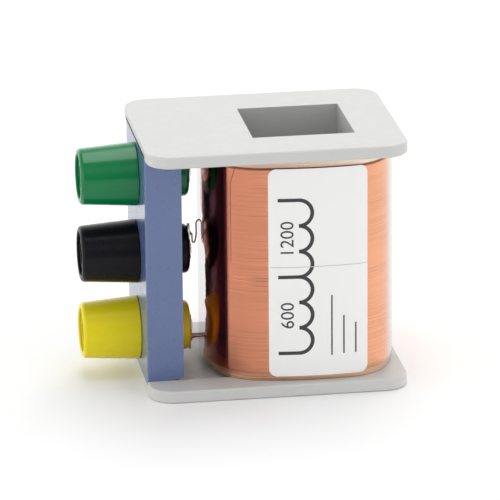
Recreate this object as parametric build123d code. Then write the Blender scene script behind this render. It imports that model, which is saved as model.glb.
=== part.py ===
"""Coil for a demountable laboratory transformer, in millimetres.

A square former with two flanges carries a copper winding in two sections with a tap between them. A terminal
panel slides into the flanges and holds three 4 mm safety sockets, wired to the start, tap and finish.

Frame: the origin is the centre of the core opening, in the plane of the lower flange's outer face. +Z runs
along the core limb, and the sockets face -X.
"""

from build123d import *
import math
import os

# Former: a square tube that slides on the core limb, with a flange at each end
core_limb = 20.0
core_play = 0.5
tube_wall = 1.5
tube_corner = 1.5
coil_height = 52.3
flange_thickness = 2.5
flange_overhang_side = 2.4
flange_overhang_end = 0.75
flange_corner = 5.0
flange_bevel = 0.25

# Channel in each flange's inner face, which the panel slides into from the edge
channel_depth = 0.9
channel_cover = 4.2

# Winding: wire built up on the tube in two sections, the outer one with bulging sides and round corners
inner_build = 2.05
outer_build_side = 4.85
outer_build_panel = 6.05
outer_build_end = 5.4
winding_corner = 10.5
bulge_panel = 1.1
bulge_end = 1.45
side_fall_panel = 1.0
side_fall_end = 0.2
last_layer = 0.35
last_layer_margin_bottom = 1.7
last_layer_margin_top = 2.0

# Film and label round the winding
film_thickness = 0.1
film_play = 0.1
film_gap = 12.0
label_thickness = 0.12
label_left = -8.65
label_width = 20.4
label_margin_bottom = 1.05
label_margin_top = 1.95
label_corner = 1.6

# Terminal panel, with a U-shaped section that opens towards the winding
panel_to_winding = 5.6
panel_width = 28.4
panel_depth = 7.5
panel_front_wall = 2.5
panel_side_wall = 2.0
panel_edge = 0.4
panel_inner_edge = 0.5
panel_play = 0.05
panel_head_play = 0.2
foot_relief_length = 1.9
foot_relief_height = 0.5

# Safety sockets
socket_pitch = 16.6
head_length = 11.9
head_base_radius = 6.6
head_lip_radius = 5.75
head_base_bevel = 0.2
head_lip_round = 0.8
recess_radius = 4.6
recess_depth = 9.5
recess_bevel = 0.2
core_tube_radius = 3.35
core_tube_setback = 0.5
core_tube_bevel = 0.2
shank_radius = 4.0
shank_rear_wall = 1.25
shank_play = 0.1
thread_play = 0.03
nut_radius = 5.1
nut_to_winding = 2.6
nut_round = 0.9
nut_front_bevel = 0.2

# Contact sleeves for 4 mm plugs
plug_diameter = 4.0
contact_wall = 0.55
contact_setback = 1.1
contact_seat_play = 0.03
contact_end_wall = 1.0
contact_mouth = 0.25
contact_slot_width = 0.5
contact_slot_length = 9.0
stub_radius = 1.1
stub_beyond_tag = 0.3

# Solder tags, leads and solder joints
tag_thickness = 0.4
tag_ring_radius = 2.5
tag_width = 2.2
tag_hole_distance = 3.2
tag_tip_distance = 4.3
tag_hole_play = 0.2
lead_diameter = 0.32
lead_start_gap = 0.12
solder_foot_radius = 0.85
solder_top_radius = 0.35
solder_height = 0.35

# Share of the shorter run beside it that a bend in a lead may take up
bend_share = 0.45

# Places that follow from the sizes above
core_opening = core_limb + 2 * core_play
tube_half = core_opening / 2 + tube_wall
zone_bottom = flange_thickness
zone_top = coil_height - flange_thickness
inner_half = tube_half + inner_build
inner_corner = tube_corner + inner_build
winding_side = inner_half + outer_build_side
winding_front = -inner_half - outer_build_panel
winding_end = inner_half + outer_build_end
panel_face = winding_front - panel_to_winding - panel_depth
flange_end = winding_end + flange_overhang_end
flange_width = 2 * (winding_side + flange_overhang_side)
label_bottom = zone_bottom + label_margin_bottom
label_top = zone_top - label_margin_top
panel_bottom = flange_thickness - channel_depth
channel_top = coil_height - panel_bottom
panel_height = channel_top - panel_head_play - panel_bottom
mouth = panel_face - head_length
nut_front = panel_face + panel_front_wall
nut_rear = winding_front - nut_to_winding
contact_radius = plug_diameter / 2 + contact_wall
contact_mouth_end = mouth + contact_setback
contact_seat_end = nut_rear - shank_rear_wall
tag_rear = nut_rear + tag_thickness
lead_radius = lead_diameter / 2
tag_hole_radius = lead_radius + tag_hole_play

# Sockets from the bottom up: colour, side that the tag points to (1 is up), and winding end that is served
SOCKETS = (("yellow", -1, "start"), ("black", 1, "tap"), ("green", 1, "finish"))


def socket_height(number):
    """Height of a socket's axis: the row is centred on the coil's height."""
    return coil_height / 2 + (number - (len(SOCKETS) - 1) / 2) * socket_pitch


def square(half, corner, bottom, top):
    """Upright block on the coil's axis with a rounded square plan."""
    return Pos(0, 0, bottom) * extrude(RectangleRounded(2 * half, 2 * half, corner), top - bottom)


def wound(outset, bottom, top):
    """Block with the outer winding's plan moved outwards by outset: bulging sides and round corners."""
    x_panel = winding_front + winding_corner + bulge_panel
    x_end = winding_end - winding_corner - bulge_end
    x_middle = (x_panel + x_end) / 2
    y_middle = winding_side - winding_corner
    y_panel = y_middle - side_fall_panel
    y_end = y_middle - side_fall_end
    sides = [
        ThreePointArc((x_panel, y_panel), (x_panel - bulge_panel, 0), (x_panel, -y_panel)),
        ThreePointArc((x_panel, -y_panel), (x_middle, -y_middle), (x_end, -y_end)),
        ThreePointArc((x_end, -y_end), (x_end + bulge_end, 0), (x_end, y_end)),
        ThreePointArc((x_end, y_end), (x_middle, y_middle), (x_panel, y_panel)),
    ]
    return Pos(0, 0, bottom) * extrude(offset(make_face(sides), winding_corner + outset), top - bottom)


def turned(points, rounds=(), bevels=()):
    """Solid turned about the X axis from (x, radius) points; rounds and bevels give (point number, size)."""
    profile = make_face(Polyline(*points, close=True))
    for soften, corners in ((fillet, rounds), (chamfer, bevels)):
        for number, size in corners:
            x, r = points[number]
            corner = min(profile.vertices(), key=lambda v: math.hypot(v.X - x, v.Y - r))
            profile = soften(corner, size)
    return revolve(profile, Axis.X)


def flange(bottom):
    """One flange plate, from the panel's face to past the winding, its outer edges bevelled."""
    plate = extrude(RectangleRounded(flange_end - panel_face, flange_width, flange_corner), flange_thickness)
    rims = plate.edges().group_by(Axis.Z)[0] + plate.edges().group_by(Axis.Z)[-1]
    return Pos((flange_end + panel_face) / 2, 0, bottom) * chamfer(rims, flange_bevel)


def channel(bottom):
    """Space of one panel channel: from the flange's edge to just under the winding."""
    length = winding_front + channel_cover - panel_face
    width = panel_width + 2 * panel_play
    space = Box(length, width, channel_depth, align=(Align.MIN, Align.CENTER, Align.MIN))
    return Pos(panel_face, 0, bottom) * space


def coil_former():
    """Core tube and flanges in one moulding, with the panel's channels and the core opening cut through."""
    tube = square(tube_half, tube_corner, zone_bottom, zone_top)
    former = tube + flange(0) + flange(zone_top) - channel(panel_bottom) - channel(zone_top)
    return former - Pos(0, 0, coil_height / 2) * Box(core_opening, core_opening, 2 * coil_height)


def winding_inner():
    """First section, wound directly on the core tube."""
    wire = square(inner_half, inner_corner, zone_bottom, zone_top)
    return wire - square(tube_half, tube_corner, zone_bottom, zone_top)


def winding_outer():
    """Second section; its last layer stops short of both flanges."""
    body = wound(-last_layer, zone_bottom, zone_top)
    last = wound(0, zone_bottom + last_layer_margin_bottom, zone_top - last_layer_margin_top)
    return body + last - square(inner_half, inner_corner, zone_bottom, zone_top)


def clear_wrap():
    """Film round the winding, open in the middle of the panel's side, where the leads come out."""
    bottom, top = zone_bottom + film_play, zone_top - film_play
    film = wound(film_thickness, bottom, top) - wound(0, bottom, top)
    return film - Pos(winding_front, 0, coil_height / 2) * Box(winding_corner, film_gap, coil_height)


def label():
    """Label on the film's front, its right-hand edge just over the start of the corner."""
    skin = wound(film_thickness + label_thickness, zone_bottom, zone_top)
    skin -= wound(film_thickness, zone_bottom, zone_top)
    outline = RectangleRounded(label_width, label_top - label_bottom, label_corner)
    outline = Plane.XZ * Pos(label_left + label_width / 2, (label_top + label_bottom) / 2) * outline
    return skin & extrude(outline, 2 * winding_side)


def terminal_panel():
    """Panel with two side walls, seated in the flanges' channels, with a hole for each socket."""
    block = Box(panel_depth, panel_width, panel_height, align=(Align.MIN, Align.CENTER, Align.MIN))
    front = block.edges().filter_by(Axis.Z).sort_by(Axis.X)[:2]
    block = fillet(front, panel_edge)
    hollow_width = panel_width - 2 * panel_side_wall
    hollow = Box(panel_depth, hollow_width, 2 * panel_height, align=(Align.MIN, Align.CENTER, Align.CENTER))
    hollow = fillet(hollow.edges().filter_by(Axis.Z).sort_by(Axis.X)[:2], panel_inner_edge)
    panel = block - Pos(panel_front_wall, 0, 0) * hollow
    relief = Box(2 * foot_relief_length, 2 * panel_width, 2 * (channel_depth + foot_relief_height))
    panel -= Pos(panel_depth, 0, 0) * relief
    panel -= Pos(panel_depth, 0, panel_height) * relief
    panel = Pos(panel_face, 0, panel_bottom) * panel
    hole = Rot(0, 90, 0) * Cylinder(shank_radius + shank_play, 4 * panel_front_wall)
    for number in range(len(SOCKETS)):
        panel -= Pos(panel_face, 0, socket_height(number)) * hole
    return panel


def socket_head():
    """Insulated head: tapered wall, recess for a plug's shroud, inner tube, and a shank through the panel."""
    stub_hole = stub_radius + contact_seat_play
    seat = contact_radius + contact_seat_play
    points = [
        (nut_rear, stub_hole),
        (nut_rear, shank_radius),
        (panel_face, shank_radius),
        (panel_face, head_base_radius),
        (mouth, head_lip_radius),
        (mouth, recess_radius),
        (mouth + recess_depth, recess_radius),
        (mouth + recess_depth, core_tube_radius),
        (mouth + core_tube_setback, core_tube_radius),
        (mouth + core_tube_setback, seat),
        (contact_seat_end, seat),
        (contact_seat_end, stub_hole),
    ]
    bevels = ((3, head_base_bevel), (5, recess_bevel), (8, core_tube_bevel))
    return turned(points, ((4, head_lip_round),), bevels)


def socket_nut():
    """Round nut that clamps the head's shoulder against the panel."""
    bore = shank_radius + thread_play
    points = [(nut_front, bore), (nut_rear, bore), (nut_rear, nut_radius), (nut_front, nut_radius)]
    return turned(points, ((2, nut_round),), ((3, nut_front_bevel),))


def contact():
    """Slotted sleeve for a 4 mm plug, closed at the rear, with a stub that carries the tag."""
    bore = plug_diameter / 2
    points = [
        (contact_mouth_end, bore + contact_mouth),
        (contact_mouth_end, contact_radius),
        (contact_seat_end, contact_radius),
        (contact_seat_end, stub_radius),
        (tag_rear + stub_beyond_tag, stub_radius),
        (tag_rear + stub_beyond_tag, 0),
        (contact_seat_end - contact_end_wall, 0),
        (contact_seat_end - contact_end_wall, bore),
        (contact_mouth_end + contact_mouth, bore),
    ]
    slot = Box(2 * contact_slot_length, contact_slot_width, 4 * contact_radius)
    return turned(points) - Pos(contact_mouth_end, 0, 0) * slot


def solder_tag(side):
    """Flat tag on the stub, its tongue pointing up (side 1) or down (side -1)."""
    tongue = Pos(side * tag_tip_distance / 2, 0) * Rectangle(tag_tip_distance, tag_width)
    tip = Pos(side * tag_tip_distance, 0) * Circle(tag_width / 2)
    lead_hole = Pos(side * tag_hole_distance, 0) * Circle(tag_hole_radius)
    outline = Circle(tag_ring_radius) + tongue + tip - Circle(stub_radius + contact_seat_play) - lead_hole
    nut_end = Plane(origin=(nut_rear, 0, 0), x_dir=(0, 0, 1), z_dir=(1, 0, 0))
    return extrude(nut_end * outline, tag_thickness)


def lead_route(end):
    """Route of a lead from its tag's hole, at height 0, into the winding's face, chosen by hand."""
    start = nut_rear + lead_start_gap
    gap = winding_front - start
    bends = {
        "start": ((0.50, -0.5, 0.55), (0.90, -3.4, 1.55), (1.40, -5.6, 2.9)),
        "tap": (
            (0.34, 0.0, 0.0),
            (0.36, -0.1, -2.0),
            (0.56, -0.2, -2.0),
            (0.70, -0.2, -0.4),
            (0.68, -0.2, 2.6),
            (1.20, 0.2, 3.0),
        ),
        "finish": ((0.50, 0.5, 0.1), (0.90, 3.2, -0.4), (1.40, 5.2, -0.6)),
    }
    stations = ((0.0, 0.0, 0.0),) + bends[end]
    return [(start + share * gap, y, z) for share, y, z in stations]


def bend_radii(route):
    """Radius at each inner point: as large as the shorter of its two runs allows."""
    radii = []
    for before, here, after in zip(route, route[1:], route[2:]):
        run_in, run_out = Vector(*here) - Vector(*before), Vector(*after) - Vector(*here)
        turn = math.radians(run_in.get_angle(run_out))
        radii.append(bend_share * min(run_in.length, run_out.length) / math.tan(turn / 2))
    return radii


def lead(end, side):
    """Bare end of the winding wire, from its tag to the winding's face."""
    route = lead_route(end)
    radii = bend_radii(route)
    print("lead_" + end, "bend radii", [round(radius, 2) for radius in radii])
    path = FilletPolyline(*route, radius=radii)
    wire = sweep((path ^ 0) * Circle(lead_radius), path) - wound(0, -coil_height, coil_height)
    return Pos(0, 0, side * tag_hole_distance) * wire


def solder(side, wire):
    """Solder that fills the tag's hole round the lead and tapers up the lead from the tag."""
    top = tag_rear + solder_height
    plug_points = [(nut_rear, tag_hole_radius), (tag_rear, tag_hole_radius), (tag_rear, solder_foot_radius)]
    joint = turned([(nut_rear, 0)] + plug_points + [(top, solder_top_radius), (top, 0)])
    return Pos(0, 0, side * tag_hole_distance) * joint - wire


def main():
    os.makedirs("parts", exist_ok=True)
    parts = {
        "coil_former": coil_former(),
        "winding_inner": winding_inner(),
        "winding_outer": winding_outer(),
        "clear_wrap": clear_wrap(),
        "label": label(),
        "terminal_panel": terminal_panel(),
    }
    for number, (colour, side, end) in enumerate(SOCKETS):
        at = Pos(0, 0, socket_height(number))
        wire = lead(end, side)
        parts["socket_head_" + colour] = at * socket_head()
        parts["socket_nut_" + colour] = at * socket_nut()
        parts["contact_" + colour] = at * contact()
        parts["solder_tag_" + colour] = at * solder_tag(side)
        parts["solder_" + colour] = at * solder(side, wire)
        parts["lead_" + end] = at * wire
    for name, shape in parts.items():
        export_step(shape, "parts/" + name + ".step")


main()
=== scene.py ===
"""Looks of the transformer coil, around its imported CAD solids.

Lengths are in metres, and MM turns millimetres into them.
"""
import math
import random

import bpy
from mathutils import Matrix, Vector


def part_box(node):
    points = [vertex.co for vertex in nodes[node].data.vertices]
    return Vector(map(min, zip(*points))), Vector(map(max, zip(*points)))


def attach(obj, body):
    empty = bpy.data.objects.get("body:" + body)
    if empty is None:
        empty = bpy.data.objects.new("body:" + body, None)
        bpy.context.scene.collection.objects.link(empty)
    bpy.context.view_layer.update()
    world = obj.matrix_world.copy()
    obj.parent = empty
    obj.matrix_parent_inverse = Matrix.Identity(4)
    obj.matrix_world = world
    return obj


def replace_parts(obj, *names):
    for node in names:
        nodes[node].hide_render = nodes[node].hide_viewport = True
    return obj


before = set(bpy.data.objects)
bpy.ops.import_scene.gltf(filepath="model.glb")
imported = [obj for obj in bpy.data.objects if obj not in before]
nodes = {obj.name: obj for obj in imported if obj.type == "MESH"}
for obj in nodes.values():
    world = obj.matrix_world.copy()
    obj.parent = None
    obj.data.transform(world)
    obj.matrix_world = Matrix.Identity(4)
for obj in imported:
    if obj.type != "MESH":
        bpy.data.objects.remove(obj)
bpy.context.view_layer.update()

MM = 0.001
scene = bpy.context.scene


# The winding's plan and its last layer, as the part has them

CORNER = 10.5 * MM
BULGE_PANEL = 1.1 * MM
BULGE_END = 1.45 * MM
FALL_PANEL = 1.0 * MM
FALL_END = 0.2 * MM
SIDE = 18.9 * MM
LAST_LAYER = 0.35 * MM
LAST_LAYER_MARGIN_BOTTOM = 1.7 * MM
LAST_LAYER_MARGIN_TOP = 2.0 * MM

# The last turn, a dark ring of painted shadow where the main layer ends: its lift off the layer, and its lower and
# upper edge below the winding's top
LAST_TURN_LIFT = 0.015 * MM
LAST_TURN_LOW = 2.3 * MM
LAST_TURN_HIGH = 1.98 * MM


# Geometry helpers


def piece(name, points, faces, material, smooth=True):
    """A mesh of the object's own, which rides on its one body."""
    mesh = bpy.data.meshes.new(name)
    mesh.from_pydata(points, [], faces)
    mesh.validate()
    mesh.polygons.foreach_set("use_smooth", [smooth] * len(mesh.polygons))
    mesh.materials.append(material)
    made = bpy.data.objects.new(name, mesh)
    scene.collection.objects.link(made)
    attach(made, "root")
    return made


def coil_arcs(outset):
    """Arcs (centre x, centre y, radius, first angle, last angle) of the winding's plan, moved outwards by outset.

    The plan is the part's: four bulging sides joined by round corners. The run starts and ends in the middle of
    the panel side and goes round by the label's side first.
    """
    (west, _, _), (east, _, _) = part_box("winding_outer")
    x_west, x_east, y_middle = west + CORNER + BULGE_PANEL, east - CORNER - BULGE_END, SIDE - CORNER
    y_west, y_east, x_middle = y_middle - FALL_PANEL, y_middle - FALL_END, (x_west + x_east) / 2
    knots = [(x_west, -y_west), (x_east, -y_east), (x_east, y_east), (x_west, y_west)]
    crowns = [(x_middle, -y_middle), (x_east + BULGE_END, 0), (x_middle, y_middle), (x_west - BULGE_PANEL, 0)]
    circles = [circle_through(knots[i], crowns[i], knots[(i + 1) % 4]) for i in range(4)]
    arcs = []
    for i in range(4):
        (cx, cy, radius), (nx, ny, _) = circles[i], circles[(i + 1) % 4]
        first, last = knots[i], knots[(i + 1) % 4]
        angles = [math.atan2(first[1] - cy, first[0] - cx), math.atan2(last[1] - cy, last[0] - cx),
                  math.atan2(last[1] - ny, last[0] - nx)]
        angles[1] = angles[0] + (angles[1] - angles[0]) % (2 * math.pi)
        angles[2] = angles[1] + (angles[2] - angles[1]) % (2 * math.pi)
        arcs.append((cx, cy, radius + CORNER + outset, angles[0], angles[1]))
        arcs.append((*last, CORNER + outset, angles[1], angles[2]))
    cx, cy, radius, first, last = arcs[6]
    half = (first + last) / 2
    return [(cx, cy, radius, half, last), arcs[7], *arcs[:6], (cx, cy, radius, first, half)]


def on_arcs(arcs, along):
    """Place and outward direction (x, y, direction x, direction y) at a length along the arcs."""
    for cx, cy, radius, first, last in arcs:
        length = radius * (last - first)
        if along <= length or (cx, cy, radius, first, last) == arcs[-1]:
            angle = first + along / radius
            return cx + radius * math.cos(angle), cy + radius * math.sin(angle), math.cos(angle), math.sin(angle)
        along -= length


def circle_through(a, b, c):
    """Centre and radius of the circle through three (x, y) points."""
    ax, ay, bx, by = a[0] - c[0], a[1] - c[1], b[0] - c[0], b[1] - c[1]
    cross = 2 * (ax * by - ay * bx)
    aa, bb = ax * ax + ay * ay, bx * bx + by * by
    ux, uy = (by * aa - ay * bb) / cross, (ax * bb - bx * aa) / cross
    return c[0] + ux, c[1] + uy, math.hypot(ux, uy)


def tube_faces(rings, around, closed=True):
    """Quads of a tube whose points are laid out ring by ring."""
    last = around if closed else around - 1
    return [
        (r * around + i, r * around + (i + 1) % around, (r + 1) * around + (i + 1) % around, (r + 1) * around + i)
        for r in range(rings - 1)
        for i in range(last)
    ]


# Materials


COAT_ROUGHNESS = 0.12
FLOW_MARKS = 9 * MM
GLOSS_PATCHES = 2 * MM
PLASTIC_GRAIN = 0.25 * MM
METAL_MARKS = 0.3 * MM
METAL_MARK_DEPTH = 0.002 * MM

# The core opening, and how softly the painted shade in it ends
CORE_SIDE = 21 * MM
CORE_EDGE = 0.2 * MM

# The copper's colour along x, with painted light in it: a deep red painted reflection up to RED_FULL and gone at
# RED_END, then painted light that pales it from NEAR_FULL to FAR_FULL
RED_FULL = -17.8 * MM
RED_END = -16 * MM
NEAR_FULL = -14 * MM
FAR_FULL = 14 * MM
TURN_GRAIN = 0.2 * MM
TURN_SHADE = (0.79, 0.765, 0.74)
STAIN_SIZE = 12 * MM
STAIN_SHADE = (1, 0.985, 0.97)

FILM_TINT = (0.97, 0.96, 0.94, 1)
FILM_ROUGHNESS = 0.05
FILM_FLAT_GLOSS = 0.015
FRESNEL_FLAT = 0.04


class Nodes:
    """Short forms for building one material's node tree."""

    def __init__(self, name):
        self.material = bpy.data.materials.new(name)
        self.material.use_nodes = True
        self.tree = self.material.node_tree
        self.shader = self.tree.nodes["Principled BSDF"]
        self.output = self.tree.nodes["Material Output"]

    def add(self, kind, **inputs):
        node = self.tree.nodes.new("ShaderNode" + kind)
        for name, value in inputs.items():
            node.inputs[name.replace("_", " ")].default_value = value
        return node

    def link(self, source, socket):
        self.tree.links.new(source, socket)

    def place(self, scale=(1, 1, 1)):
        """Object coordinates in metres, stretched by scale."""
        coordinates = self.add("TexCoord")
        mapping = self.add("Mapping", Scale=scale)
        self.link(coordinates.outputs["Object"], mapping.inputs["Vector"])
        return mapping.outputs["Vector"]

    def noise(self, size, scale=(1, 1, 1), detail=2.0):
        """Noise between 0 and 1 whose grains are about size metres across."""
        noise = self.add("TexNoise", Scale=1 / size, Detail=detail, Roughness=0.5)
        self.link(self.place(scale), noise.inputs["Vector"])
        return noise.outputs["Fac"]

    def spread(self, value, low, high, start=0.3, end=0.7):
        """value between start and end, turned into low to high."""
        ramp = self.add("MapRange")
        for name, number in (("From Min", start), ("From Max", end), ("To Min", low), ("To Max", high)):
            ramp.inputs[name].default_value = number
        self.link(value, ramp.inputs["Value"])
        return ramp.outputs["Result"]

    def blend(self, fac, first, second):
        """Two colours mixed by a value, each a colour or a socket."""
        mix = self.add("Mix")
        mix.data_type = "RGBA"
        self.link(fac, mix.inputs["Factor"])
        for name, colour in (("A", first), ("B", second)):
            socket = next(s for s in mix.inputs if s.name == name and s.type == "RGBA")
            if isinstance(colour, bpy.types.NodeSocket):
                self.link(colour, socket)
            else:
                socket.default_value = (*colour[:3], 1)
        return next(s for s in mix.outputs if s.type == "RGBA")

    def off_axis(self, reach, edge):
        """0 within reach of the core's axis along x and y, 1 beyond it."""
        split = self.add("SeparateXYZ")
        self.link(self.place(), split.inputs["Vector"])
        far = self.add("Math")
        far.operation = "MAXIMUM"
        for axis, socket in zip("XY", far.inputs):
            size = self.add("Math")
            size.operation = "ABSOLUTE"
            self.link(split.outputs[axis], size.inputs[0])
            self.link(size.outputs["Value"], socket)
        return self.spread(far.outputs["Value"], 0, 1, reach, reach + edge)

    def bump(self, height, depth):
        """Bump of the given depth in metres."""
        bump = self.add("Bump", Strength=1.0, Distance=depth)
        self.link(height, bump.inputs["Height"])
        self.link(bump.outputs["Normal"], self.shader.inputs["Normal"])


def shaded(colour, factor):
    return tuple(min(1, channel * factor) for channel in colour[:3])


def plastic(name, colour, roughness, mottle=0.04, depth=0.003 * MM, specular=0.5, coat=0, tube=1):
    """Moulded plastic with faint flow marks, uneven gloss and a fine grain; tube darkens its colour inside the core
    opening as painted shade.
    """
    n = Nodes(name)
    n.shader.inputs["Specular IOR Level"].default_value = specular
    n.shader.inputs["Coat Weight"].default_value = coat
    n.shader.inputs["Coat Roughness"].default_value = COAT_ROUGHNESS
    flow = n.noise(FLOW_MARKS, detail=3)
    tone = n.blend(n.spread(flow, 0, 1), shaded(colour, 1 - mottle), shaded(colour, 1 + mottle))
    if tube < 1:
        tone = n.blend(n.off_axis(CORE_SIDE / 2, CORE_EDGE), shaded(colour, tube), tone)
    n.link(tone, n.shader.inputs["Base Color"])
    n.link(n.spread(n.noise(GLOSS_PATCHES), roughness * 0.85, roughness * 1.15), n.shader.inputs["Roughness"])
    if depth:
        n.bump(n.noise(PLASTIC_GRAIN, detail=3), depth)
    return n.material


def metal(name, colour, roughness, scale=(1, 1, 1)):
    """Plated metal with fine marks drawn out along one direction by scale."""
    n = Nodes(name)
    marks = n.noise(METAL_MARKS, scale=scale, detail=3)
    n.link(n.blend(n.spread(marks, 0, 1), shaded(colour, 0.9), shaded(colour, 1.08)), n.shader.inputs["Base Color"])
    n.link(n.spread(marks, roughness * 0.8, roughness * 1.25), n.shader.inputs["Roughness"])
    n.shader.inputs["Metallic"].default_value = 1
    n.bump(marks, METAL_MARK_DEPTH)
    return n.material


def copper(name, painted_shade_side, painted_dim_near_panel, painted_bright_far_side, roughness=0.1):
    """Enamelled wire, each turn a little different; its colour holds painted light: a dark painted reflection
    towards the panel, then a painted rise from dim near the panel to bright on the far side.
    """
    n = Nodes(name)
    turns = n.noise(TURN_GRAIN, scale=(0.01, 0.01, 1), detail=0)
    stains = n.noise(STAIN_SIZE, scale=(0.6, 0.6, 1.4), detail=2)
    across = n.add("SeparateXYZ")
    n.link(n.place(), across.inputs["Vector"])
    tone = n.blend(n.spread(across.outputs["X"], 0, 1, NEAR_FULL, FAR_FULL), painted_dim_near_panel, painted_bright_far_side)
    tone = n.blend(n.spread(across.outputs["X"], 0, 1, RED_FULL, RED_END), painted_shade_side, tone)
    stained = n.add("Mix")
    stained.data_type = "RGBA"
    stained.blend_type = "MULTIPLY"
    stained.inputs["Factor"].default_value = 1
    sockets = [socket for socket in stained.inputs if socket.type == "RGBA"]
    n.link(tone, sockets[0])
    shade = n.blend(n.spread(turns, 0, 1), TURN_SHADE, (1, 1, 1))
    n.link(n.blend(n.spread(stains, 0, 1), shade, STAIN_SHADE), sockets[1])
    n.link(next(socket for socket in stained.outputs if socket.type == "RGBA"), n.shader.inputs["Base Color"])
    n.link(n.spread(turns, roughness * 0.8, roughness * 1.3), n.shader.inputs["Roughness"])
    n.shader.inputs["Metallic"].default_value = 1
    return n.material


def clear_film(name, edge_on):
    """Thin clear film, see-through, with a gloss on its outer face that grows to a full mirror at edge_on."""
    n = Nodes(name)
    n.tree.nodes.remove(n.shader)
    clear = n.add("BsdfTransparent", Color=FILM_TINT)
    gloss = n.add("BsdfGlossy", Roughness=FILM_ROUGHNESS)
    edge = n.spread(n.add("Fresnel", IOR=1.5).outputs["Fac"], FILM_FLAT_GLOSS, 1, FRESNEL_FLAT, edge_on)
    mix = n.add("MixShader")
    side = n.add("NewGeometry")
    outer = n.spread(side.outputs["Backfacing"], 1, 0, 0, 1)
    glossy = n.add("Math")
    glossy.operation = "MULTIPLY"
    n.link(edge, glossy.inputs[0])
    n.link(outer, glossy.inputs[1])
    n.link(glossy.outputs["Value"], mix.inputs["Fac"])
    n.link(clear.outputs["BSDF"], mix.inputs[1])
    n.link(gloss.outputs["BSDF"], mix.inputs[2])
    n.link(mix.outputs["Shader"], n.output.inputs["Surface"])
    return n.material


GREY = (0.62, 0.62, 0.605)
BLUE = (0.108, 0.158, 0.325)
GREEN = (0, 0.2, 0.058)
BLACK = (0.007, 0.006, 0.009)
YELLOW = (0.82, 0.69, 0.012)
# The nut's yellow is brighter and more orange than the head's: painted copper-tinted light from the winding.
YELLOW_NUT_PAINTED_LIGHT = (1.0, 0.7, 0.03)
# Copper colours with painted light: a deep red painted reflection by the panel, and for the wire and both bands a
# dimmer near colour and a brighter far colour as painted light.
COPPER_PAINTED_SHADE = (0.62, 0.07, 0.06)
COPPER_NEAR_PAINTED_DIM = (0.66, 0.255, 0.152)
COPPER_FAR_PAINTED_BRIGHT = (0.92, 0.45, 0.265)
UNDER_NEAR = (0.68, 0.36, 0.23)
UNDER_FAR = (0.84, 0.58, 0.40)
TOP_NEAR = (0.62, 0.42, 0.32)
TOP_FAR = (0.92, 0.82, 0.70)
# Colour of the last turn: painted shadow along the main layer's top edge.
LAST_TURN = (0.36, 0.13, 0.07)
ENAMEL = (0.42, 0.10, 0.06)
NICKEL = (0.72, 0.70, 0.66)
TINNED = (0.70, 0.68, 0.62)
SOLDER = (0.62, 0.62, 0.62)
# Colour of the panel joint's sheet: painted shadow.
JOINT = (0.05, 0.052, 0.07)
# Colour of the film's crease line: painted shade.
CREASE = (0.46, 0.17, 0.10)
PAPER = (0.92, 0.92, 0.91)
# Grey of the seam line across the label: painted shadow of the film seam's edge.
SEAM_PAINTED_SHADOW_GREY = (0.60, 0.60, 0.585)
INK = (0.035, 0.035, 0.04)
LABEL_GRAIN_DEPTH = 0.001 * MM

# The former's grey is 20 per cent darker inside the core opening: painted shade.
grey_plastic = plastic("former_grey_plastic", GREY, 0.5, mottle=0.012, tube=0.8)
blue_plastic = plastic("panel_blue_plastic", BLUE, 0.3, mottle=0.03, depth=0, coat=0.55)
yellow_nut_painted_light_plastic = plastic("socket_yellow_nut_plastic", YELLOW_NUT_PAINTED_LIGHT, 0.3, specular=0.25)
socket_plastics = {
    "green": plastic("socket_green_plastic", GREEN, 0.2, specular=0.4),
    "black": plastic("socket_black_plastic", BLACK, 0.3, mottle=0.2, specular=0.14),
    "yellow": plastic("socket_yellow_plastic", YELLOW, 0.3, specular=0.25),
}
# Copper materials: their colours carry the painted reflection by the panel and the painted light along x, and the
# last turn's colour is painted shadow.
copper_wire = copper("copper_winding_wire", COPPER_PAINTED_SHADE, COPPER_NEAR_PAINTED_DIM, COPPER_FAR_PAINTED_BRIGHT)
under_wire = copper("copper_under_layer", UNDER_NEAR, UNDER_NEAR, UNDER_FAR, 0.3)
top_wire = copper("copper_top_layer", TOP_NEAR, TOP_NEAR, TOP_FAR, 0.3)
painted_shadow_wire = copper("copper_last_turn_painted_shadow", LAST_TURN, LAST_TURN, LAST_TURN, 0.3)
lead_wire = metal("enamelled_lead_wire", ENAMEL, 0.3, scale=(0.3, 1, 1))
nickel = metal("contact_nickel", NICKEL, 0.25, scale=(3, 0.4, 0.4))
tinned = metal("tag_tinned_brass", TINNED, 0.3)
solder_tin = metal("solder_tin", SOLDER, 0.35)
joint_painted_shadow = plastic("panel_joint_shade", JOINT, 0.6, specular=0.1)
film = clear_film("clear_wrap_film", 0.6)
loose_film = clear_film("clear_wrap_loose_film", 0.3)
film_crease_painted_shade = plastic("clear_wrap_crease_painted_shade", CREASE, 0.3, mottle=0.3)
label_paper = plastic("label_white_film", PAPER, 0.4, mottle=0.006, depth=LABEL_GRAIN_DEPTH)
seam_shade = plastic("label_seam_shade", SEAM_PAINTED_SHADOW_GREY, 0.3, mottle=0.1, depth=LABEL_GRAIN_DEPTH)
label_ink = plastic("label_black_ink", INK, 0.45, mottle=0.08, depth=LABEL_GRAIN_DEPTH)


def dress(node, material):
    """Gives a CAD node its one material."""
    mesh = nodes[node].data
    mesh.materials.clear()
    mesh.materials.append(material)


dress("coil_former", grey_plastic)
dress("terminal_panel", blue_plastic)
dress("winding_inner", copper_wire)
dress("label", label_paper)
for colour, plastic_material in socket_plastics.items():
    dress("socket_head_" + colour, plastic_material)
    dress("socket_nut_" + colour, plastic_material)
    dress("contact_" + colour, nickel)
    dress("solder_tag_" + colour, tinned)
    dress("solder_" + colour, solder_tin)
# The yellow nut's orange is painted light.
dress("socket_nut_yellow", yellow_nut_painted_light_plastic)
for end in ("start", "tap", "finish"):
    dress("lead_" + end, lead_wire)


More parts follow.
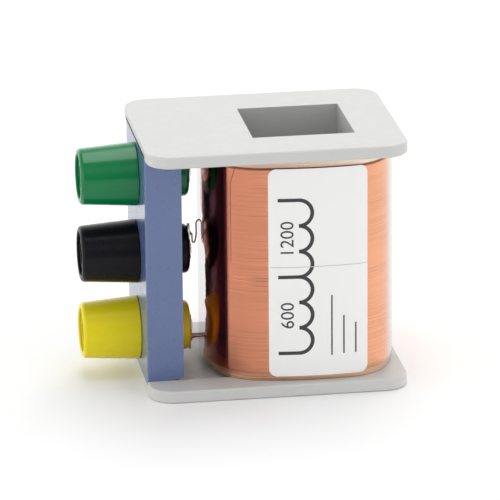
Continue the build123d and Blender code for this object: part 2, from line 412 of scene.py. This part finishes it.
JOINT_LIFT = 0.015 * MM
JOINT_BELOW = 0.3 * MM
JOINT_ABOVE = 0.26 * MM


def panel_joint():
    """Dark sheet of painted shadow over the panel's top edge, where it enters the upper flange."""
    (x, y_front, _), (_, y_far, z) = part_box("terminal_panel")
    x -= JOINT_LIFT
    low, high = z - JOINT_BELOW, z + JOINT_ABOVE
    corners = [(x, y_front, low), (x, y_far, low), (x, y_far, high), (x, y_front, high)]
    piece("panel_joint", corners, [(0, 1, 2, 3)], joint_painted_shadow)


panel_joint()


# Winding and film

WIRE_PITCH = 0.33 * MM
RIB = 0.03 * MM
RIB_FLAT = 0.28
WIRE_STEPS = 160

# How much single turns stand in or out, in mm
TURN_UNEVENNESS = 0.006

# Slack turns, in mm: their heights, their grooves' width and depth, and where and how far they run on the plan
SLACK_TURNS = (23.1, 24.0, 24.8)
SLACK_WIDTH = 0.2
SLACK_DEPTH = 0.03
SLACK_PLACE = 20
SLACK_REACH = 6

PLAN = coil_arcs(0)
ROUND = sum(radius * (last - first) for _, _, radius, first, last in PLAN)


def wound_wire(name, outset, bottom, top, material, seed=1):
    """Close turns of wire round the winding's plan, from bottom to top, closed through the inside.

    A few turns at half height lie slack on the front corner, with open grooves between them.
    """
    chance = random.Random(seed)
    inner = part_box("winding_inner")[1][0]
    turns = round((top - bottom) / WIRE_PITCH)
    pitch = (top - bottom) / turns
    ring = [on_arcs(PLAN, ROUND * i / WIRE_STEPS) for i in range(WIRE_STEPS)]
    points = []

    def row(height, out, groove=False):
        slack = max(ridge(height / MM, z, SLACK_WIDTH) for z in SLACK_TURNS) if groove else 0
        for i, (x, y, nx, ny) in enumerate(ring):
            deep = out - SLACK_DEPTH * MM * slack * ridge(ROUND / MM * i / WIRE_STEPS, SLACK_PLACE, SLACK_REACH)
            points.append((x + nx * deep, y + ny * deep, height))

    def inside(height):
        for x, y, _, _ in ring:
            share = inner / max(abs(x), abs(y))
            points.append((x * share, y * share, height))

    inside(bottom)
    row(bottom, outset - RIB)
    for turn in range(turns):
        middle = bottom + (turn + 0.5) * pitch
        proud = outset + chance.uniform(-TURN_UNEVENNESS, TURN_UNEVENNESS) * MM
        if turn:
            row(middle - pitch / 2, outset - RIB, groove=True)
        row(middle - pitch * RIB_FLAT, proud - RIB * 0.25)
        row(middle + pitch * RIB_FLAT, proud - RIB * 0.25)
    row(top, outset - RIB)
    inside(top)
    rings = len(points) // WIRE_STEPS
    faces = tube_faces(rings, WIRE_STEPS)
    last = (rings - 1) * WIRE_STEPS
    faces += [(last + i, last + (i + 1) % WIRE_STEPS, (i + 1) % WIRE_STEPS, i) for i in range(WIRE_STEPS)]
    return piece(name, points, faces, material)


# Ragged outer end of the film: heights in mm, and how far past the middle of the panel side it reaches there
FILM_END = (
    (0, 1.5), (4, 3.5), (7, 5.5), (10, 6.6), (12.5, 7.6), (15.5, 9.0), (16.5, 6.8), (18, 8.2), (21, 8.6), (24, 7.9),
    (27, 8.4), (28.5, 7.2), (30, 3.0), (32, 3.6), (34.5, 4.2), (36, 2.6), (37.5, 2.1), (40, 2.7), (44, 2.3),
    (47, 2.9), (60, 1.5),
)

# Twice the radius of the bulging panel side, in mm
SIDE_CROWN = 51

# The film, in mm: its start past the middle of the panel side, where the loose end joins it, and its lifts
FILM_START = 1.0
FILM_JOIN = 6
FILM_LIFT = 0.1
RAGGED_SIZE = 0.12
FILM_SEAM_LIFT = 0.03
FILM_SEAM_HEIGHT = 26.8
LOOSE_FOOT = 29
CREASE_FOOT = 27
CREASE_LIFT = 0.1
CREASE_LINE_LIFT = 0.16
WRINKLES = (0, 1.5, 2.6)
WRINKLE_LIFT = 0.025
WRINKLE_HEIGHT = 29
WRINKLE_PLACE = 14

# Points of the film's mesh: close ones on the front corner, FRONT_STEP mm apart, and wider ones on the rest
FRONT_STEP = 0.14
FRONT_SPOTS = 150
OTHER_SPOTS = 90
LOOSE_SPOTS = 70
FILM_ROWS = 200
CREASE_LINE_STEPS = 40


def film_end(z):
    """How far the film's outer end reaches at a height, in mm."""
    for (low, start), (high, end) in zip(FILM_END, FILM_END[1:]):
        if z <= high:
            return start + (end - start) * (z - low) / (high - low)


def crease_place(z):
    """How far round the film's crease lies at a height, both in mm."""
    return 15.55 + max(0, z - 44.3) * 0.35


def ridge(place, middle, width):
    """Smooth hump, 1 at middle and close to 0 two widths away."""
    return math.exp(-((place - middle) / width) ** 2)


def film_sheets():
    """Clear film a little more than once round the winding, and its loose, ragged outer end on the panel side.

    It is creased along the front corner, folded at the top of that crease, and a seam runs round it at half height.
    """
    (_, _, bottom), (_, _, top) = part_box("clear_wrap")
    chance = random.Random(5)
    waves = [(chance.uniform(1.5, 5), chance.uniform(0, 6.3), chance.uniform(0.5, 1)) for _ in range(6)]
    spots = [FILM_START + FRONT_STEP * i for i in range(FRONT_SPOTS)]
    spots += [spots[-1] + (ROUND / MM - FILM_JOIN - spots[-1]) * (i + 1) / OTHER_SPOTS for i in range(OTHER_SPOTS)]
    loose = [(i + 1) / LOOSE_SPOTS for i in range(LOOSE_SPOTS)]
    wrap, end = [], []
    for r in range(FILM_ROWS + 1):
        height = bottom + (top - bottom) * r / FILM_ROWS
        z = height / MM
        ragged = sum(size * math.sin(pitch * z + start) for pitch, start, size in waves) * RAGGED_SIZE
        crease = crease_place(z)
        seam = FILM_SEAM_LIFT * ridge(z, FILM_SEAM_HEIGHT, 0.25)
        straight = 0.72 if z < LOOSE_FOOT else 0.4 + 0.12 * math.sin(0.7 * z)
        for spot in spots:
            out = FILM_LIFT + seam
            if z > CREASE_FOOT:
                out += CREASE_LIFT * ridge(spot, crease, 0.14 + 0.14 * max(0, z - 45.8))
            for turn in WRINKLES:
                slant = z - WRINKLE_HEIGHT + turn + 0.8 * (spot - WRINKLE_PLACE)
                out += WRINKLE_LIFT * ridge(slant, 0, 0.2) * ridge(spot, WRINKLE_PLACE, 1.6)
            x, y, nx, ny = on_arcs(PLAN, spot * MM)
            wrap.append((x + nx * out * MM, y + ny * out * MM, height))
        reach = FILM_JOIN + film_end(z) + ragged
        for share in loose:
            away = straight * max(0, reach * share - FILM_JOIN) ** 2 / SIDE_CROWN
            out = FILM_LIFT + seam + 0.05 * min(1, share * 5) + away
            x, y, nx, ny = on_arcs(PLAN, (spots[-1] + reach * share) * MM % ROUND)
            end.append((x + nx * out * MM, y + ny * out * MM, height))
    wrap_faces, end_faces = (tube_faces(FILM_ROWS + 1, len(run), closed=False) for run in (spots, loose))
    return [
        piece("winding_film", wrap, wrap_faces, film),
        piece("winding_film_end", end, end_faces, loose_film),
    ]


def crease_line(name, z_low, z_high, width):
    """Narrow dark line where the crease bends the film sharply; its dark is painted shade."""
    points = []
    for i in range(CREASE_LINE_STEPS + 1):
        z = z_low + (z_high - z_low) * i / CREASE_LINE_STEPS
        for side in (-width / 2, width / 2):
            x, y, nx, ny = on_arcs(PLAN, (crease_place(z) + 0.2 + side) * MM)
            points.append((x + nx * CREASE_LINE_LIFT * MM, y + ny * CREASE_LINE_LIFT * MM, z * MM))
    faces = tube_faces(CREASE_LINE_STEPS + 1, 2, closed=False)
    return piece(name, points, faces, film_crease_painted_shade)


_, (_, _, zone_top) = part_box("winding_outer")
(_, _, zone_bottom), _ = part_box("winding_outer")
last_low = zone_bottom + LAST_LAYER_MARGIN_BOTTOM
last_high = zone_top - LAST_LAYER_MARGIN_TOP
main_wire = wound_wire("winding_wire", 0, last_low, last_high, copper_wire)
low_wire = wound_wire("winding_wire_lower_band", -LAST_LAYER, zone_bottom, last_low, under_wire, seed=2)
high_wire = wound_wire("winding_wire_upper_band", -LAST_LAYER, last_high, zone_top, top_wire, seed=3)
# The last turn's dark ring is painted shadow where the main layer meets the upper band.
turn_low, turn_high = zone_top - LAST_TURN_LOW, zone_top - LAST_TURN_HIGH
last_wire = wound_wire("winding_wire_last_turn", LAST_TURN_LIFT, turn_low, turn_high, painted_shadow_wire)
for wire in (main_wire, low_wire, high_wire, last_wire):
    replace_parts(wire, "winding_outer")
for sheet in film_sheets():
    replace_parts(sheet, "clear_wrap")
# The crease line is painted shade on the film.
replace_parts(crease_line("winding_film_crease", 27.5, 47.5, 0.1), "clear_wrap")


# Print on the label, and the painted shadow of the film's seam across it, in millimetres: x to the right and z
# upwards on the label's front

LABEL_OUT = 0.22
INK_LIFT = 0.012
SYMBOL_MIDDLE = 24.9
SYMBOL_PITCH = 5.45
SYMBOL_AXIS = -2.5
SYMBOL_STROKE = 0.78
TAIL_END = -6.75
TAIL_LAP = 0.1
NUMBER_FOOT = -3.6
NUMBER_SIZE = 3.85
RULES = ((4.2, 7.8, 20.7), (6.7, 8.0, 16.2), (9.2, 8.0, 14.5))
RULE_WIDTH = 0.3
LABEL_SEAM_START = -8.35
LABEL_SEAM_LENGTH = 20.1
LABEL_SEAM_HEIGHT = 27.0
LABEL_SEAM_WIDTH = 0.16
LABEL_SEAM_LIFT = 0.02


def label_point(x, z, lift=INK_LIFT):
    """Point on the label's surface, lifted off it, for a place seen from the front."""
    arcs = coil_arcs((LABEL_OUT + lift) * MM)
    low, high = ROUND * 0.1, ROUND * 0.4
    for _ in range(40):
        middle = (low + high) / 2
        if on_arcs(arcs, middle)[0] < x * MM:
            low = middle
        else:
            high = middle
    return x * MM, on_arcs(arcs, low)[1], z * MM


def ribbon(name, path, width, material, lift=INK_LIFT):
    """Flat printed stroke of even width along (x, z) points."""
    points = []
    for i, (x, z) in enumerate(path):
        (xa, za), (xb, zb) = path[max(0, i - 1)], path[min(len(path) - 1, i + 1)]
        run = math.hypot(xb - xa, zb - za)
        across = (-(zb - za) / run * width / 2, (xb - xa) / run * width / 2)
        points += [label_point(x - across[0], z - across[1], lift), label_point(x + across[0], z + across[1], lift)]
    faces = [(2 * i, 2 * i + 2, 2 * i + 3, 2 * i + 1) for i in range(len(path) - 1)]
    return piece(name, points, faces, material)


def coil_symbol():
    """Inductor symbol: six half circles between three tails, at its ends and its tap."""
    radius = SYMBOL_PITCH / 2
    low = SYMBOL_MIDDLE - 3 * SYMBOL_PITCH
    for number in range(6):
        centre = low + (number + 0.5) * SYMBOL_PITCH
        arc = [(SYMBOL_AXIS + radius * math.cos(a), centre + radius * math.sin(a))
               for a in (math.pi * (i / 24 - 0.5) for i in range(25))]
        ribbon("label_symbol_arc_%d" % (number + 1), arc, SYMBOL_STROKE, label_ink)
    for place, height in (("low", low), ("middle", SYMBOL_MIDDLE), ("high", low + 6 * SYMBOL_PITCH)):
        tail = [(TAIL_END + (SYMBOL_AXIS + TAIL_LAP - TAIL_END) * i / 6, height) for i in range(7)]
        ribbon("label_symbol_tail_" + place, tail, SYMBOL_STROKE * 0.95, label_ink)


def turn_count(name, words, x, z, size):
    """Plain number that reads upwards; x is its foot line and z where it starts."""
    data = bpy.data.curves.new(name, "FONT")
    data.body = words
    data.size = size
    data.resolution_u = 4
    flat = bpy.data.objects.new(name, data)
    scene.collection.objects.link(flat)
    bpy.context.view_layer.update()
    shape = bpy.data.meshes.new_from_object(flat.evaluated_get(bpy.context.evaluated_depsgraph_get()))
    bpy.data.objects.remove(flat)
    points = [label_point(x - v.co.y, z + v.co.x) for v in shape.vertices]
    faces = [tuple(face.vertices) for face in shape.polygons]
    bpy.data.meshes.remove(shape)
    return piece(name + "_print", points, faces, label_ink, smooth=False)


coil_symbol()
turn_count("turns_low", "600", NUMBER_FOOT, 13.75, NUMBER_SIZE)
turn_count("turns_high", "1200", NUMBER_FOOT, 29.15, NUMBER_SIZE)
for row, (x, z_low, z_high) in enumerate(RULES):
    rule = [(x, z_low + (z_high - z_low) * i / 8) for i in range(9)]
    ribbon("label_rule_%d" % (row + 1), rule, RULE_WIDTH, label_ink)
# Grey line where the film's seam crosses the label: painted shadow of the seam's edge.
seam_path = [(LABEL_SEAM_START + LABEL_SEAM_LENGTH * i / 40, LABEL_SEAM_HEIGHT) for i in range(41)]
ribbon("label_seam", seam_path, LABEL_SEAM_WIDTH, seam_shade, lift=LABEL_SEAM_LIFT)


# Camera, floor and light


CAMERA_TURN = (-8.661, 18.263, -0.484)
CAMERA_TARGET = (-9.646, 0, 24.916)
CAMERA_DISTANCE = 960.826 * MM
CAMERA_LENS = 334.97
FLOOR_DROP = 0.05 * MM
FLOOR_REACH = 6.0
FLOOR_LIT = (0.88, 0.88, 0.88)
FLOOR_LIT_PATCHES = (0.885, 0.885, 0.885)
FLOOR_SEEN = (0.97, 0.97, 0.97)
LAMP_AIM = (0, 0, 0.025)


def camera():
    """Long lens at the height and side of the main view; CAMERA_TURN is azimuth, elevation and roll in degrees."""
    azimuth, elevation, roll = (math.radians(a) for a in CAMERA_TURN)
    target = Vector(CAMERA_TARGET) * MM
    back = Vector((
        math.sin(azimuth) * math.cos(elevation),
        -math.cos(azimuth) * math.cos(elevation),
        math.sin(elevation),
    ))
    right = (-back).cross(Vector((0, 0, 1))).normalized()
    up = right.cross(-back)
    turned_right = right * math.cos(roll) + up * math.sin(roll)
    turned_up = up * math.cos(roll) - right * math.sin(roll)
    data = bpy.data.cameras.new("camera")
    data.sensor_width = 36
    data.lens = CAMERA_LENS
    data.clip_start = 0.01
    made = bpy.data.objects.new("camera", data)
    axes = Matrix((turned_right, turned_up, back)).transposed().to_4x4()
    made.matrix_world = Matrix.Translation(target + back * CAMERA_DISTANCE) @ axes
    scene.collection.objects.link(made)
    scene.camera = made


def floor():
    """Pale floor that stays white to the eye but keeps the object's shadow."""
    n = Nodes("studio_floor")
    rays = n.add("LightPath")
    seen = n.add("Math")
    seen.operation = "ADD"
    seen.use_clamp = True
    n.link(rays.outputs["Is Camera Ray"], seen.inputs[0])
    n.link(rays.outputs["Is Glossy Ray"], seen.inputs[1])
    plain = n.blend(n.noise(0.2), FLOOR_LIT, FLOOR_LIT_PATCHES)
    n.link(n.blend(seen.outputs["Value"], plain, FLOOR_SEEN), n.shader.inputs["Base Color"])
    n.shader.inputs["Roughness"].default_value = 0.9
    n.shader.inputs["Specular IOR Level"].default_value = 0
    sides = ((-1, -1), (1, -1), (1, 1), (-1, 1))
    corners = [(x * FLOOR_REACH, y * FLOOR_REACH, -FLOOR_DROP) for x, y in sides]
    mesh = bpy.data.meshes.new("floor")
    mesh.from_pydata([Vector(c) for c in corners], [], [(0, 1, 2, 3)])
    mesh.materials.append(n.material)
    made = bpy.data.objects.new("floor", mesh)
    scene.collection.objects.link(made)


def lamp(name, size, power, place):
    """Oblong area lamp that points at the middle of the object."""
    data = bpy.data.lights.new(name, "AREA")
    data.shape = "RECTANGLE"
    data.size, data.size_y = size
    data.energy = power
    made = bpy.data.objects.new(name, data)
    made.location = place
    made.rotation_euler = (Vector(LAMP_AIM) - Vector(place)).to_track_quat("-Z", "Y").to_euler()
    scene.collection.objects.link(made)


def sky(horizon, zenith, front):
    """White surroundings, brightest at eye level; a cone on the label's side keeps only front of its light."""
    world = bpy.data.worlds.new("studio_world")
    world.use_nodes = True
    tree = world.node_tree
    background = tree.nodes["Background"]
    background.inputs["Color"].default_value = (1, 1, 1, 1)
    direction = tree.nodes.new("ShaderNodeTexCoord")
    split = tree.nodes.new("ShaderNodeSeparateXYZ")
    tree.links.new(direction.outputs["Generated"], split.inputs["Vector"])

    def ramp(source, start, end, low, high):
        node = tree.nodes.new("ShaderNodeMapRange")
        for name, number in (("From Min", start), ("From Max", end), ("To Min", low), ("To Max", high)):
            node.inputs[name].default_value = number
        tree.links.new(source, node.inputs["Value"])
        return node.outputs["Result"]

    def product(first, second):
        node = tree.nodes.new("ShaderNodeMath")
        node.operation = "MULTIPLY"
        tree.links.new(first, node.inputs[0])
        tree.links.new(second, node.inputs[1])
        return node.outputs["Value"]

    height = ramp(split.outputs["Z"], 0, 0.85, horizon, zenith)
    behind = ramp(split.outputs["Y"], -0.97, -0.75, front, 1)
    tree.links.new(product(height, behind), background.inputs["Strength"])
    scene.world = world


camera()
floor()
sky(2.15, 0.4, 0.1)
lamp("top_softbox", (0.4, 1.15), 5.2, (0.06, 0.2, 1.1))
scene.view_settings.view_transform = "Standard"
